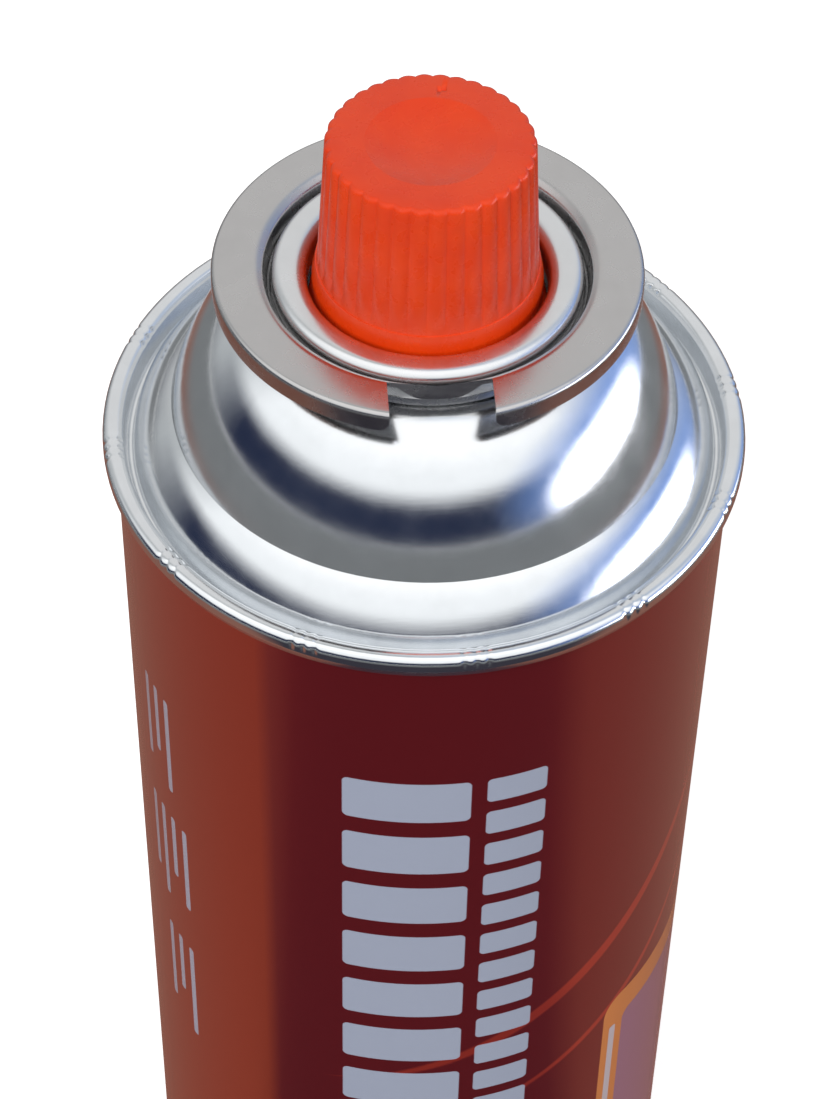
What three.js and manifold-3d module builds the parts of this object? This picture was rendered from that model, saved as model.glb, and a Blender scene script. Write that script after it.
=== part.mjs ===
// A gas cartridge for a portable stove: a printed tinplate can with a domed top end,
// a notched steel collar, a valve in a crimped mounting cup and a fluted pull-off cap.
// Millimetres, +Z up, origin at the middle of the base, collar notch towards -Y.

import * as THREE from 'three';
import { mergeVertices } from 'three/addons/utils/BufferGeometryUtils.js';
import Module from 'manifold-3d';

const wasm = await Module();
wasm.setup();

// Facets round each turned piece, and steps along its curves.
const turnFacets = 32;
const valveFacets = 16;
const arcSteps = 3;
const cornerSteps = 2;
const bulgeSteps = 3;
const domeSteps = 6;
const panelSteps = 4;

// Can: a rolled and welded sleeve, closed by a double seam at each end.
const canHeight = 160;
const bodyRadius = 32.86;
const bodySheet = 0.25;
const endSheet = 0.35;
const seamHeight = 3;
const seamRound = 0.55;
const seamPlay = 0.1;
const endHookPlay = 0.065;
const bodyHookPlay = 0.225;
const hookLength = 1.3;

// Top end: countersink, a bulge, a crease, then a bell-shaped dome up to the neck.
const countersinkInset = 0.86;
const countersinkWidth = 0.4;
const countersinkDepth = 2.82;
const bulgeFootSlope = 78;
const bulgeTopSlope = 25;
const bulgeWidth = 4.55;
const creaseRise = 4;
const domeFootSlope = 75;
const domeTopSlope = 15;
const shoulderRadius = 16;
const shoulderRise = 17.5;
const neckRadius = 13.1;
const neckFootRise = 0.4;
const beadRadius = 15.5;
const beadRise = 21.25;
const beadLip = 0.35;

// Bottom end: seamed like the top, its panel domed inwards.
const panelInset = 0.96;
const panelRise = 3.4;
const panelDomeRise = 6.5;

// Liquefied fuel, filled to the real level for its weight.
const fuelHeadspace = 33;
const fuelGap = 0.3;

// Mounting cup: curled over the neck's bead, crimped out under it, with a turret inside.
const cupSheet = 0.35;
const cupPlay = 0.11;
const curlOuterRound = 1.2;
const curlInnerRound = 1.6;
const curlSkirt = 2.25;
const cupGasketWidth = 1.15;
const cupGasketThickness = 0.4;
const crimpDepth = 0.45;
const crimpTop = 4.8;
const crimpHeight = 1.5;
const wellDepth = 7.1;
const wellCorner = 0.5;
const turretRadius = 5.2;
const turretRise = 6;
const turretRound = 0.8;
const turretWaist = 0.32;
const turretWaistHeight = 0.9;

// Collar: one pressed ring, flat on top, with a skirt outside and a tube round the neck.
const collarSheet = 0.5;
const collarRadius = 22;
const collarAboveCurl = 0.2;
const collarEdgeRound = 1;
const collarSkirt = 2.3;
const collarFlatRadius = 17.6;
const collarLipDrop = 0.6;
const collarCurlGap = 0.5;
const collarTubeRadius = 15.45;
const collarTubeTop = 3;
const notchWidth = 10.4;
const notchRootRadius = 16.7;
const notchCornerRound = 0.9;

// Valve: gasket, stem, spring and housing under the turret, and a bent vapour tube.
const seatGap = 0.05;
const stemRadius = 2;
const stemBoreRadius = 0.9;
const stemProtrusion = 6;
const stemTipChamfer = 0.35;
const stemShoulderRadius = 3.3;
const stemShoulderHeight = 2.5;
const stemSpigotRadius = 1.6;
const stemSpigotLength = 2;
const stemPlay = 0.1;
const stemGasketThickness = 1;
const housingHeadRadius = 4.7;
const housingHeadHeight = 3.1;
const housingBodyRadius = 4.4;
const housingBoreRadius = 3.6;
const housingDepth = 12.5;
const housingFloor = 1.2;
const tailRadius = 1.7;
const tailBoreRadius = 0.8;
const tailLength = 4.3;
const springWireRadius = 0.3;
const springCoilRadius = 2.5;
const springTurns = 6;
const tubeWall = 0.5;
const tubePlay = 0.2;
const tubeTopGap = 0.3;
const tubeDrop = 7.5;
const tubeBendReach = 10;
const tubeBendDegrees = 70;
const tubeArm = 14;

// Cap: a moulded thimble with fine flutes, its skirt snapped into the mounting cup.
const capHeight = 23.45;
const capSkirtRadius = 11.8;
const capBandTop = 7.9;
const capBandFlare = 1.85;
const capBandTopRadius = 11.44;
const capSnapRadius = 12.15;
const capSnapHeight = 3.3;
const capSnapWidth = 0.35;
const fluteCount = 36;
const fluteDepth = 0.4;
const fluteFootRadius = 11.3;
const fluteTopRadius = 10.45;
const capEdgeRound = 0.45;
const capWall = 1.35;
const capCeiling = 1.5;
const capInnerFillet = 0.6;
const dishRadius = 6.5;
const dishDepth = 0.4;
const pointsPerFlute = 6;

// The seam's layers from the body out to its face and in to the chuck wall.
const bodyHookRadius = bodyRadius + seamPlay + endSheet + endHookPlay + bodySheet;
const seamRadius = bodyHookRadius + bodyHookPlay + endSheet;
const chuckWallRadius = bodyRadius - bodySheet - seamPlay - endSheet;
const seamFlat = seamRadius - chuckWallRadius - 2 * seamRound;
const countersinkRadius = chuckWallRadius - countersinkInset;
const creaseRadius = countersinkRadius - bulgeWidth;
const panelRadius = chuckWallRadius - panelInset;

// Heights worked out from the driving dimensions.
const seamTop = canHeight;
const fuelLevel = canHeight - fuelHeadspace;
const beadTop = seamTop + beadRise;
const cupGasketZ = beadTop + seatGap;
const curlTop = cupGasketZ + cupGasketThickness + seatGap + cupSheet;
const curlRadius = beadRadius + cupPlay + cupSheet;
const beadArc = (beadRadius - neckRadius + endSheet) / 2;
const beadCentre = neckRadius - endSheet + beadArc;
const cupWallRadius = neckRadius - endSheet - seamPlay - cupSheet;
const wellFloor = curlTop - wellDepth;
const turretTop = wellFloor + turretRise;
const stemGasketTop = turretTop - cupSheet - seatGap;
const stemGasketBottom = stemGasketTop - stemGasketThickness;
const stemTop = turretTop + stemProtrusion;
const stemShoulderTop = stemGasketBottom - seatGap;
const stemShoulderBottom = stemShoulderTop - stemShoulderHeight;
const housingTop = stemGasketBottom - seatGap;
const housingInside = housingTop - housingDepth;
const housingBottom = housingInside - housingFloor;
const tailBottom = housingBottom - tailLength;
const collarTop = curlTop + collarAboveCurl;
const capBottom = wellFloor + seatGap;
const capTop = capBottom + capHeight;

const point = (r, z) => new THREE.Vector2(r, z);

// Points along a round stretch, from one angle to another, in degrees.
function arc(r, z, radius, fromDegrees, toDegrees, steps = arcSteps) {
  const turn = THREE.MathUtils.degToRad(toDegrees - fromDegrees) / steps;
  const start = THREE.MathUtils.degToRad(fromDegrees);
  const along = (i) => start + turn * i;
  return Array.from({ length: steps + 1 }, (_, i) =>
    point(r + radius * Math.cos(along(i)), z + radius * Math.sin(along(i))));
}

// A curve that leaves its outer foot at one slope and comes in level at another.
function swell(foot, footSlope, top, topSlope, steps) {
  const up = THREE.MathUtils.degToRad(footSlope);
  const flat = THREE.MathUtils.degToRad(topSlope);
  const footRun = -Math.cos(up);
  const footLift = Math.sin(up);
  const topRun = Math.cos(flat);
  const topLift = -Math.sin(flat);
  const cross = footRun * topLift - footLift * topRun;
  const reach = ((top.x - foot.x) * topLift - (top.y - foot.y) * topRun) / cross;
  const corner = point(foot.x + footRun * reach, foot.y + footLift * reach);
  return new THREE.QuadraticBezierCurve(foot, corner, top).getPoints(steps);
}

// The closed section of a sheet whose visible face is the line, seen on its right.
function sheet(line, thickness) {
  const faces = line.slice(1).map((p, i) => {
    const along = p.clone().sub(line[i]).normalize();
    return point(-along.y, along.x);
  });
  const back = line.map((p, i) => {
    const before = faces[Math.max(i - 1, 0)];
    const after = faces[Math.min(i, faces.length - 1)];
    const mitre = before.clone().add(after).divideScalar(1 + before.dot(after));
    const onAxis = p.x === 0 ? point(0, Math.sign(mitre.y)) : mitre;
    return p.clone().add(onAxis.multiplyScalar(thickness));
  });
  return [...line, ...back.reverse()];
}

// A turned solid about Z. A section that is clear of the axis closes on itself.
function turn(section, facets = turnFacets) {
  const next = (i) => section[(i + 1) % section.length];
  const area = section.reduce((sum, p, i) => sum + p.cross(next(i)), 0);
  const outline = area > 0 ? [...section] : [...section].reverse();
  const onAxis = section.some((p) => p.x === 0);
  if (onAxis) {
    const first = outline.findIndex((p, i) => p.x === 0 && outline[(i + 1) % outline.length].x > 0);
    outline.push(...outline.splice(0, first));
  } else {
    outline.push(outline[0].clone());
  }
  const geometry = new THREE.LatheGeometry(outline, facets);
  return geometry.rotateX(Math.PI / 2);
}

// Joins and cuts closed meshes.
function solid(geometry) {
  const bare = geometry.index ? geometry.clone() : geometry;
  bare.deleteAttribute('normal');
  bare.deleteAttribute('uv');
  const merged = mergeVertices(bare);
  const wellFormed = [];
  const index = merged.index.array;
  for (let i = 0; i < index.length; i += 3) {
    const [a, b, c] = [index[i], index[i + 1], index[i + 2]];
    if (a !== b && b !== c && c !== a) wellFormed.push(a, b, c);
  }
  return new wasm.Manifold(new wasm.Mesh({
    numProp: 3,
    vertProperties: new Float32Array(merged.attributes.position.array),
    triVerts: new Uint32Array(wellFormed),
  }));
}

function geometryOf(manifold) {
  const mesh = manifold.getMesh();
  const geometry = new THREE.BufferGeometry();
  geometry.setAttribute('position', new THREE.BufferAttribute(mesh.vertProperties, 3));
  geometry.setIndex(new THREE.BufferAttribute(mesh.triVerts, 1));
  geometry.computeVertexNormals();
  return geometry;
}

const part = new THREE.Group();

function add(name, geometry, color, roughness, metalness) {
  const material = new THREE.MeshStandardMaterial({ color, roughness, metalness });
  const mesh = new THREE.Mesh(geometry, material);
  mesh.name = name;
  part.add(mesh);
}

// The body sleeve, with a hook turned out and back at each end for the double seams.
function bodySleeve() {
  const top = seamTop - endSheet - seamPlay;
  const bottom = endSheet + seamPlay;
  const round = (bodyHookRadius - bodyRadius + bodySheet) / 2;
  const middle = bodyHookRadius - round;
  const inner = round - bodySheet;
  const line = [
    point(bodyHookRadius - bodySheet, bottom + round + hookLength),
    ...arc(middle, bottom + round, inner, 0, -180, cornerSteps),
    ...arc(middle, top - round, inner, 180, 0, cornerSteps),
    point(bodyHookRadius - bodySheet, top - round - hookLength),
  ];
  return turn(sheet(line, bodySheet));
}

// The seam's outside: the end's hook, its roll round the body's hook, and the chuck wall.
function seamLine() {
  const hook = bodyRadius + seamPlay;
  const shelf = -seamHeight;
  const outer = seamRadius - seamRound;
  return [
    point(hook, shelf + hookLength + seamRound),
    point(hook, shelf + seamRound / 2),
    point(hook + seamRound / 2, shelf),
    point(outer, shelf),
    point(seamRadius, shelf + seamRound),
    ...arc(outer, -seamRound, seamRound, 0, 90, cornerSteps),
    ...arc(outer - seamFlat, -seamRound, seamRound, 90, 180, cornerSteps),
  ];
}

function topEnd() {
  const lift = (p) => point(p.x, seamTop + p.y);
  const floor = -countersinkDepth;
  const foot = point(countersinkRadius - countersinkWidth / 2, floor);
  const crease = point(creaseRadius, creaseRise);
  const shoulder = point(shoulderRadius, shoulderRise);
  const line = [
    ...seamLine(),
    point(countersinkRadius + countersinkWidth / 2, floor),
    ...swell(foot, bulgeFootSlope, crease, bulgeTopSlope, bulgeSteps),
    ...swell(crease, domeFootSlope, shoulder, domeTopSlope, domeSteps).slice(1),
    point(neckRadius, shoulderRise + neckFootRise),
    ...arc(beadCentre, beadRise - beadArc, beadArc - endSheet, 180, 0),
    point(beadRadius - endSheet, beadRise - beadArc - beadLip),
  ].map(lift);
  return turn(sheet(line, endSheet));
}

// The panel's dome, at a height above its own face and out to a radius.
function panelDome(offset, outTo) {
  const sphere = (panelRadius ** 2 + panelDomeRise ** 2) / (2 * panelDomeRise);
  const centre = panelRise + panelDomeRise - sphere;
  const height = (r) => centre + Math.sqrt(sphere ** 2 - r ** 2) + offset;
  return Array.from({ length: panelSteps + 1 }, (_, i) => {
    const r = outTo * i / panelSteps;
    return point(r, height(r));
  });
}

function bottomEnd() {
  const outside = seamLine().map((p) => point(p.x, -p.y));
  const face = panelDome(0, panelRadius);
  const line = [...outside, ...face.reverse()].reverse();
  return turn(sheet(line, endSheet));
}

function fuel() {
  const wall = bodyRadius - bodySheet - fuelGap;
  const bed = panelDome(endSheet + fuelGap, panelRadius - fuelGap);
  const step = seamHeight + endSheet + fuelGap + seamPlay;
  return turn([
    ...bed,
    point(wall, bed[bed.length - 1].y + step),
    point(wall, fuelLevel),
    point(0, fuelLevel),
  ]);
}

function cupLine() {
  return [
    point(curlRadius, curlTop - curlSkirt),
    ...arc(curlRadius - curlOuterRound, curlTop - curlOuterRound, curlOuterRound, 0, 90),
    ...arc(cupWallRadius + curlInnerRound, curlTop - curlInnerRound, curlInnerRound, 90, 180),
    point(cupWallRadius, curlTop - crimpTop),
    point(cupWallRadius + crimpDepth, curlTop - crimpTop - crimpHeight / 2),
    point(cupWallRadius + crimpDepth, curlTop - crimpTop - crimpHeight),
    point(cupWallRadius, wellFloor + wellCorner),
    point(cupWallRadius - wellCorner, wellFloor),
    point(turretRadius + wellCorner, wellFloor),
    point(turretRadius - turretWaist, wellFloor + turretWaistHeight),
    point(turretRadius, wellFloor + 2 * turretWaistHeight),
    ...arc(turretRadius - turretRound, turretTop - turretRound, turretRound, 0, 90, cornerSteps),
    point(stemRadius + cupSheet, turretTop),
  ];
}

function flatRing(inner, outer, bottom, thickness, facets) {
  return turn([
    point(inner, bottom),
    point(outer, bottom),
    point(outer, bottom + thickness),
    point(inner, bottom + thickness),
  ], facets);
}

// The collar, with a parallel notch through its flat and skirt down to its tube.
function collar() {
  const tubeTop = collarTop - collarTubeTop;
  const line = [
    point(collarRadius, collarTop - collarSkirt),
    ...arc(collarRadius - collarEdgeRound, collarTop - collarEdgeRound, collarEdgeRound, 0, 90),
    point(collarFlatRadius, collarTop),
    point(curlRadius + collarCurlGap + collarLipDrop / 2, collarTop - collarLipDrop),
    point(curlRadius + collarCurlGap - seamPlay, tubeTop + collarLipDrop),
    point(collarTubeRadius, tubeTop),
    point(collarTubeRadius, seamTop + shoulderRise + neckFootRise - seamPlay),
  ];
  return solid(turn(sheet(line, collarSheet))).subtract(solid(notchCutter()));
}

function notchCutter() {
  const half = notchWidth / 2;
  const skirtEnd = collarTop - collarSkirt;
  const round = notchCornerRound;
  const over = collarTop + round;
  const under = skirtEnd - round;
  const leftCorner = arc(-half - round, skirtEnd + round, round, 0, -90, 3);
  const rightCorner = arc(half + round, skirtEnd + round, round, -90, -180, 3);
  const outline = new THREE.Shape([
    point(-half, over),
    ...leftCorner,
    point(-half - round, under),
    point(half + round, under),
    ...rightCorner,
    point(half, over),
  ]);
  const depth = collarRadius - notchRootRadius + round;
  const block = new THREE.ExtrudeGeometry(outline, { depth, bevelEnabled: false });
  block.rotateX(Math.PI / 2);
  return block.translate(0, -notchRootRadius, 0);
}

function stem() {
  const spigotBottom = stemShoulderBottom - stemSpigotLength;
  return turn([
    point(0, spigotBottom),
    point(stemSpigotRadius, spigotBottom),
    point(stemSpigotRadius, stemShoulderBottom),
    point(stemShoulderRadius, stemShoulderBottom),
    point(stemShoulderRadius, stemShoulderTop),
    point(stemRadius, stemShoulderTop),
    point(stemRadius, stemTop - stemTipChamfer),
    point(stemRadius - stemTipChamfer, stemTop),
    point(stemBoreRadius, stemTop),
    point(stemBoreRadius, stemShoulderTop - stemGasketThickness),
    point(0, stemShoulderTop - stemGasketThickness),
  ], valveFacets);
}

function housing() {
  const headBottom = housingTop - housingHeadHeight;
  return turn([
    point(tailBoreRadius, tailBottom),
    point(tailRadius, tailBottom),
    point(tailRadius, housingBottom),
    point(housingBodyRadius, housingBottom),
    point(housingBodyRadius, headBottom),
    point(housingHeadRadius, headBottom),
    point(housingHeadRadius, housingTop),
    point(housingBoreRadius, housingTop),
    point(housingBoreRadius, housingInside),
    point(tailBoreRadius, housingInside),
  ], valveFacets);
}

// The spring's coil, from the housing's floor to the underside of the stem's shoulder.
class Coil extends THREE.Curve {
  getPoint(t, target = new THREE.Vector3()) {
    const angle = 2 * Math.PI * springTurns * t;
    const bottom = housingInside + springWireRadius + seatGap;
    const top = stemShoulderBottom - springWireRadius - seatGap;
    return target.set(
      springCoilRadius * Math.cos(angle),
      springCoilRadius * Math.sin(angle),
      bottom + (top - bottom) * t);
  }
}

function spring() {
  const wire = new THREE.Shape().absarc(0, 0, springWireRadius, 0, 2 * Math.PI);
  const stepsPerTurn = 8;
  return new THREE.ExtrudeGeometry(wire, {
    steps: springTurns * stepsPerTurn,
    curveSegments: 3,
    extrudePath: new Coil(),
    bevelEnabled: false,
  });
}

// The vapour tube slides over the housing's tail and bends towards the notch's side.
function vapourTube() {
  const inner = tailRadius + tubePlay;
  const ring = new THREE.Shape().absarc(0, 0, inner + tubeWall, 0, 2 * Math.PI);
  ring.holes.push(new THREE.Path().absarc(0, 0, inner, 0, 2 * Math.PI));
  const bend = THREE.MathUtils.degToRad(tubeBendDegrees);
  const top = new THREE.Vector3(0, 0, housingBottom - tubeTopGap);
  const knee = new THREE.Vector3(0, 0, top.z - tubeDrop);
  const corner = new THREE.Vector3(0, 0, knee.z - tubeBendReach);
  const heading = new THREE.Vector3(0, -Math.sin(bend), -Math.cos(bend));
  const elbow = corner.clone().addScaledVector(heading, tubeBendReach);
  const end = elbow.clone().addScaledVector(heading, tubeArm);
  const route = new THREE.CurvePath();
  route.add(new THREE.LineCurve3(top, knee));
  route.add(new THREE.QuadraticBezierCurve3(knee, corner, elbow));
  route.add(new THREE.LineCurve3(elbow, end));
  return new THREE.ExtrudeGeometry(ring, {
    steps: 12,
    curveSegments: 5,
    extrudePath: route,
    bevelEnabled: false,
  });
}

// The fluted barrel of the cap, as rings of points joined up level by level.
function flutedBarrel() {
  const columns = fluteCount * pointsPerFlute;
  const foot = capBottom + capBandTop - capWall;
  const taper = (fluteFootRadius - fluteTopRadius) / (capTop - foot);
  const levels = [
    [foot, fluteFootRadius],
    [capTop - capEdgeRound, fluteTopRadius + taper * capEdgeRound],
    [capTop, fluteTopRadius - capEdgeRound],
  ];
  const positions = [];
  for (const [z, ridge] of levels) {
    for (let i = 0; i < columns; i += 1) {
      const angle = 2 * Math.PI * i / columns;
      const wave = (1 - Math.cos(fluteCount * angle)) / 2;
      const r = ridge - fluteDepth * wave;
      positions.push(r * Math.sin(angle), -r * Math.cos(angle), z);
    }
  }
  positions.push(0, 0, levels[0][0], 0, 0, levels[levels.length - 1][0]);
  const bottomCentre = levels.length * columns;
  const topCentre = bottomCentre + 1;
  const lastRing = (levels.length - 1) * columns;
  const index = [];
  for (let i = 0; i < columns; i += 1) {
    const j = (i + 1) % columns;
    for (let ring = 0; ring < lastRing; ring += columns) {
      index.push(ring + i, ring + j, ring + columns + j);
      index.push(ring + i, ring + columns + j, ring + columns + i);
    }
    index.push(bottomCentre, j, i, topCentre, lastRing + i, lastRing + j);
  }
  const geometry = new THREE.BufferGeometry();
  geometry.setAttribute('position', new THREE.Float32BufferAttribute(positions, 3));
  geometry.setIndex(index);
  return geometry;
}

function cap() {
  const bandTop = capBottom + capBandTop;
  const snap = capBottom + capSnapHeight;
  const band = turn([
    point(0, capBottom),
    point(capSkirtRadius - capSnapWidth, capBottom),
    point(capSkirtRadius, capBottom + capSnapWidth),
    point(capSkirtRadius, snap - capSnapWidth),
    point(capSnapRadius, snap),
    point(capSkirtRadius, snap + capSnapWidth),
    point(capSkirtRadius, bandTop - capBandFlare),
    point(capBandTopRadius, bandTop),
    point(0, bandTop),
  ]);
  const ceiling = capTop - capCeiling;
  const topBore = fluteTopRadius - fluteDepth - capWall;
  const hollow = turn([
    point(0, capBottom - capWall),
    point(capSkirtRadius - capWall, capBottom - capWall),
    point(capSkirtRadius - capWall, bandTop - capBandFlare),
    point(topBore, ceiling - capInnerFillet),
    point(topBore - capInnerFillet, ceiling),
    point(0, ceiling),
  ]);
  const dish = turn([
    point(0, capTop - dishDepth),
    point(dishRadius - dishDepth, capTop - dishDepth),
    point(dishRadius + dishDepth, capTop + dishDepth),
    point(0, capTop + dishDepth),
  ]);
  return solid(flutedBarrel()).add(solid(band)).subtract(solid(hollow)).subtract(solid(dish));
}

add('can_body', bodySleeve(), '#4a0a0c', 0.3, 0.3);
add('top_end', topEnd(), '#d5dade', 0.28, 0.9);
add('bottom_end', bottomEnd(), '#c6c9ca', 0.35, 0.9);
add('liquid_fuel', fuel(), '#dfe8ea', 0.1, 0);
add('collar_ring', geometryOf(collar()), '#afacaa', 0.42, 0.85);
add('mounting_cup', turn(sheet(cupLine(), cupSheet)), '#cfd3d6', 0.3, 0.9);
const cupGasketInner = beadCentre - cupGasketWidth / 2 + cupGasketThickness / 2;
add('cup_gasket', flatRing(
  cupGasketInner, cupGasketInner + cupGasketWidth, cupGasketZ, cupGasketThickness), '#2a2a2c', 0.8, 0);
add('stem_gasket', flatRing(
  stemRadius + stemPlay, turretRadius - turretRound - seatGap, stemGasketBottom,
  stemGasketThickness, valveFacets), '#1f1f21', 0.8, 0);
add('valve_housing', housing(), '#e9e7df', 0.5, 0);
add('valve_spring', spring(), '#9a9da1', 0.3, 1);
add('vapour_tube', vapourTube(), '#e4e6e2', 0.4, 0);
add('valve_stem', stem(), '#e8e6de', 0.45, 0);
add('cap', geometryOf(cap()), '#dc2f12', 0.42, 0);

export default part;
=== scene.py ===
import math

import bpy
from mathutils import Matrix, Vector


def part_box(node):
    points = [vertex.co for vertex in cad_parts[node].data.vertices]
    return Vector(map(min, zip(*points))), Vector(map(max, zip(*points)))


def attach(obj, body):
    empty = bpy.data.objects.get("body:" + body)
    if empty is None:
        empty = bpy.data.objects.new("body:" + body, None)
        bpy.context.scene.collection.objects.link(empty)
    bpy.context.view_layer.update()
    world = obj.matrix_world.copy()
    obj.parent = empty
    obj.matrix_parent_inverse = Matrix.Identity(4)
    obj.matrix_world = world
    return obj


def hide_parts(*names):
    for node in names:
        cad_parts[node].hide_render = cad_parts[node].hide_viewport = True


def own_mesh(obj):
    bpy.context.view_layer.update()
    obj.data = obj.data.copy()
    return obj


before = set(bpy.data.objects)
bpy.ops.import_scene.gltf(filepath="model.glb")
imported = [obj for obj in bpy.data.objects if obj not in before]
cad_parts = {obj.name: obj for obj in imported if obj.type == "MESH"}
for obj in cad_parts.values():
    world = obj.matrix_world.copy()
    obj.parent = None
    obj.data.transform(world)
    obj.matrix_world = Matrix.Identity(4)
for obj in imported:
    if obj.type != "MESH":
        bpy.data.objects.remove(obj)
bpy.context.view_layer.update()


# Can body: a tinplate sleeve 0.25 mm thick, printed and lacquered on the flat, rolled, welded,
# and hooked outwards at both ends, where the double seams hold it.
MM = 0.001
TURN_STEPS = 192
SMOOTH_ANGLE = math.radians(32)
WELD_REACH = 0.002


def rounded(corners, steps=6):
    """A profile line through corners given as (radius, height, rounding)."""
    line = []
    for i, corner in enumerate(corners):
        here = Vector(corner[:2])
        if len(corner) < 3:
            line.append(here)
            continue
        back = (Vector(corners[i - 1][:2]) - here).normalized()
        ahead = (Vector(corners[i + 1][:2]) - here).normalized()
        inside = back.angle(ahead)
        centre = here + (back + ahead).normalized() * (corner[2] / math.sin(inside / 2))
        spoke = here + back * (corner[2] / math.tan(inside / 2)) - centre
        turn = math.copysign(math.pi - inside, back.cross(ahead) * -1)
        for step in range(steps + 1):
            line.append(centre + Matrix.Rotation(turn * step / steps, 2) @ spoke)
    return line


def sheet(line, thickness):
    """The closed section of a sheet: the seen face, then its back face on the line's left."""
    faces = [Vector((a.y - b.y, b.x - a.x)).normalized() for a, b in zip(line, line[1:])]
    back = []
    for i, here in enumerate(line):
        before = faces[max(i - 1, 0)]
        after = faces[min(i, len(faces) - 1)]
        mitre = (before + after) / (1 + before.dot(after))
        if here.x == 0:
            mitre = Vector((0, math.copysign(1, mitre.y)))
        back.append(here + mitre * thickness)
    return line + back[::-1]


def draw_section(name, section):
    """Draws a turned piece's section beside the can's axis, point by point, in edit mode."""
    bpy.ops.object.select_all(action="DESELECT")
    bpy.ops.mesh.primitive_plane_add(size=MM)
    piece = bpy.context.object
    piece.name = name
    piece.data.name = name
    bpy.ops.object.mode_set(mode="EDIT")
    bpy.ops.mesh.merge(type="CENTER")
    closed = section if section[0].x == 0 else section + section[:1]
    bpy.ops.transform.translate(value=(closed[0].x * MM, 0, closed[0].y * MM))
    for before, after in zip(closed, closed[1:]):
        step = ((after.x - before.x) * MM, 0, (after.y - before.y) * MM)
        bpy.ops.mesh.extrude_vertices_move(TRANSFORM_OT_translate={"value": step})
    bpy.ops.mesh.select_all(action="SELECT")
    return piece


def spin(steps, angle, copies=False):
    """Turns what is selected about the can's axis, as a skin or as loose copies."""
    bpy.ops.mesh.spin(steps=steps, angle=angle, center=(0, 0, 0), axis=(0, 0, 1), dupli=copies,
                      use_auto_merge=False)


def close_turned():
    """Joins the spun sectors and the pole of the piece in hand, and points its faces outwards."""
    bpy.ops.mesh.select_all(action="SELECT")
    bpy.ops.mesh.remove_doubles(threshold=WELD_REACH * MM)
    bpy.ops.mesh.dissolve_degenerate(threshold=WELD_REACH / 4 * MM)
    bpy.ops.mesh.normals_make_consistent(inside=False)
    bpy.ops.object.mode_set(mode="OBJECT")
    bpy.ops.object.shade_smooth_by_angle(angle=SMOOTH_ANGLE)


def turned(name, section, steps=TURN_STEPS, sectors=12):
    """A piece turned about the can's axis: one sector is spun, then copied round."""
    piece = draw_section(name, section)
    spin(steps // sectors, 2 * math.pi / sectors)
    bpy.ops.mesh.select_all(action="SELECT")
    spin(sectors - 1, 2 * math.pi * (sectors - 1) / sectors, copies=True)
    close_turned()
    return piece


def node(tree, kind, inputs=None, **settings):
    """A shader node, its settings made, its inputs linked or set."""
    made = tree.nodes.new(kind)
    for name, value in settings.items():
        setattr(made, name, value)
    for name, value in (inputs or {}).items():
        if isinstance(value, bpy.types.NodeSocket):
            tree.links.new(value, made.inputs[name])
        else:
            made.inputs[name].default_value = value
    return made


def maths(tree, operation, *values):
    """The result of one sum on values or sockets."""
    return node(tree, "ShaderNodeMath", dict(enumerate(values)), operation=operation).outputs[0]


def mix(tree, mask, below, above):
    """One colour laid over another by a mask."""
    made = node(tree, "ShaderNodeMix", {"Factor": mask}, data_type="RGBA")
    for name, value in (("A", below), ("B", above)):
        socket = next(s for s in made.inputs if s.name == name and s.type == "RGBA")
        if isinstance(value, bpy.types.NodeSocket):
            tree.links.new(value, socket)
        else:
            socket.default_value = (*value, 1)
    return next(s for s in made.outputs if s.type == "RGBA")


def ramp(tree, value, low, high, to_low=0.0, to_high=1.0):
    """A value carried from one range to another, and held at its ends."""
    return node(tree, "ShaderNodeMapRange", {
        "Value": value, "From Min": low, "From Max": high, "To Min": to_low, "To Max": to_high,
    }).outputs["Result"]


def group(name, inputs, outputs):
    """An empty node group with value inputs, (name, value), and value outputs, by name."""
    tree = bpy.data.node_groups.new(name, "ShaderNodeTree")
    for label, value in inputs:
        socket = tree.interface.new_socket(label, in_out="INPUT", socket_type="NodeSocketFloat")
        socket.default_value = value
    for label in outputs:
        tree.interface.new_socket(label, in_out="OUTPUT", socket_type="NodeSocketFloat")
    return tree, tree.nodes.new("NodeGroupInput").outputs, tree.nodes.new("NodeGroupOutput").inputs


def place(tree, name, **inputs):
    """Puts a node group into a material and sets its inputs."""
    made = tree.nodes.new("ShaderNodeGroup")
    made.node_tree = bpy.data.node_groups[name]
    for label, value in inputs.items():
        if isinstance(value, bpy.types.NodeSocket):
            tree.links.new(value, made.inputs[label])
        else:
            made.inputs[label].default_value = value
    return made.outputs


def finish(name, colour, roughness, **shader_inputs):
    """A material with its Principled shader's own sockets set. Returns it, its tree and shader."""
    made = bpy.data.materials.new(name)
    made.use_nodes = True
    shader = made.node_tree.nodes["Principled BSDF"]
    shader.inputs["Base Color"].default_value = (*colour, 1)
    shader.inputs["Roughness"].default_value = roughness
    for label, value in shader_inputs.items():
        shader.inputs[label.replace("_", " ")].default_value = value
    return made, made.node_tree, shader


def bump(tree, shader, height, distance, strength=1.0, socket="Normal"):
    """Raises a surface by a height pattern. The distance is in millimetres."""
    raised = node(tree, "ShaderNodeBump", {
        "Height": height, "Distance": distance * MM, "Strength": strength})
    tree.links.new(raised.outputs["Normal"], shader.inputs[socket])


def on_piece(tree):
    """A spot's place on its own piece, as three values in metres."""
    spot = node(tree, "ShaderNodeTexCoord").outputs["Object"]
    return node(tree, "ShaderNodeSeparateXYZ", {"Vector": spot}).outputs


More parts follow.
